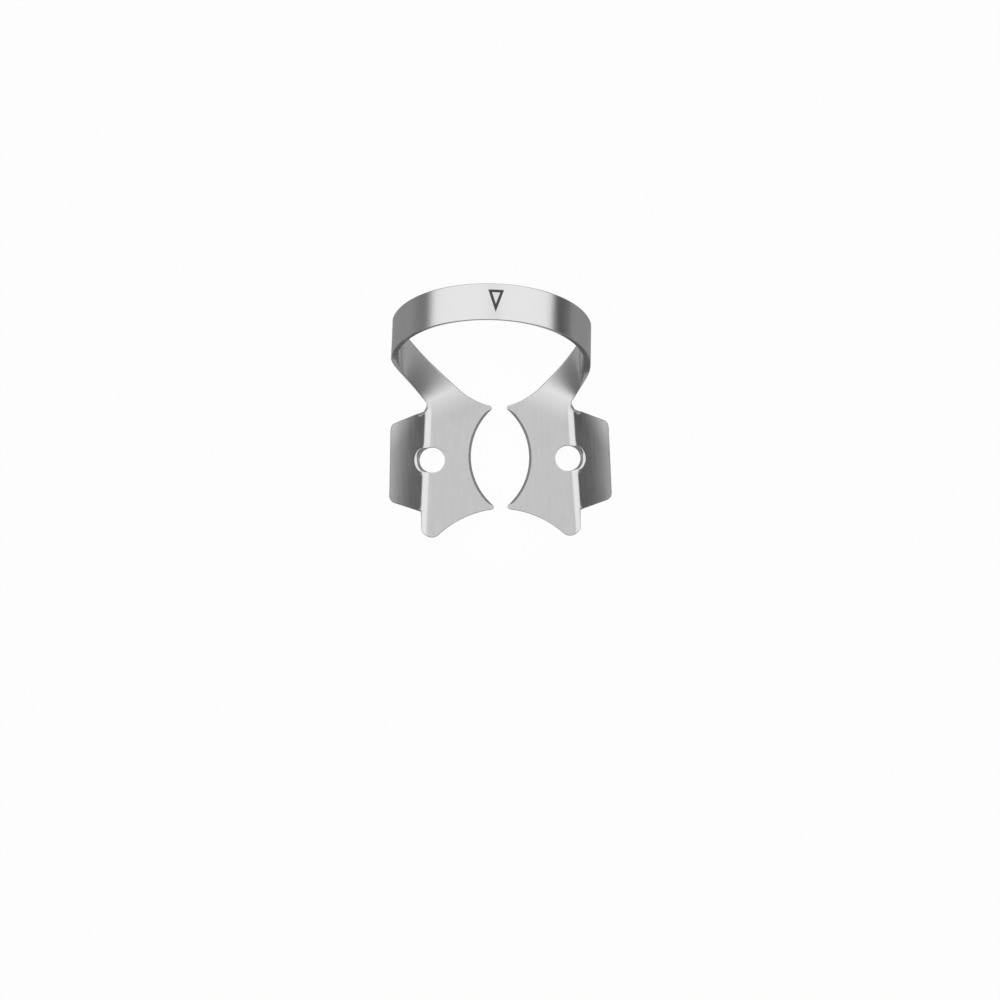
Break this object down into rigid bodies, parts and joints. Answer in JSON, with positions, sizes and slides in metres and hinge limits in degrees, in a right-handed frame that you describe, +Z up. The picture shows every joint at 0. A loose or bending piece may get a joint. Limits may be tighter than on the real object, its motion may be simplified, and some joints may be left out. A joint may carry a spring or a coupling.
{
  "type": "rubber dam clamp",
  "caption": "Winged spring-steel dental dam clamp with curved gripping jaws, forceps holes, bent-down wings and a raised bow behind the jaws.",
  "frame": {"origin": "midway between the two jaws, halfway through the sheet of the jaw plates", "axes": "+X to the right jaw plate, +Y from the jaws to the bow, +Z up from the plates towards the top of the bow"},
  "size_m": [0.0252, 0.0285, 0.0159],
  "materials": {
    "stainless_steel": "satin"
  },
  "bodies": {
    "root": {"clamp": "stainless_steel"}
  },
  "joints": []
}
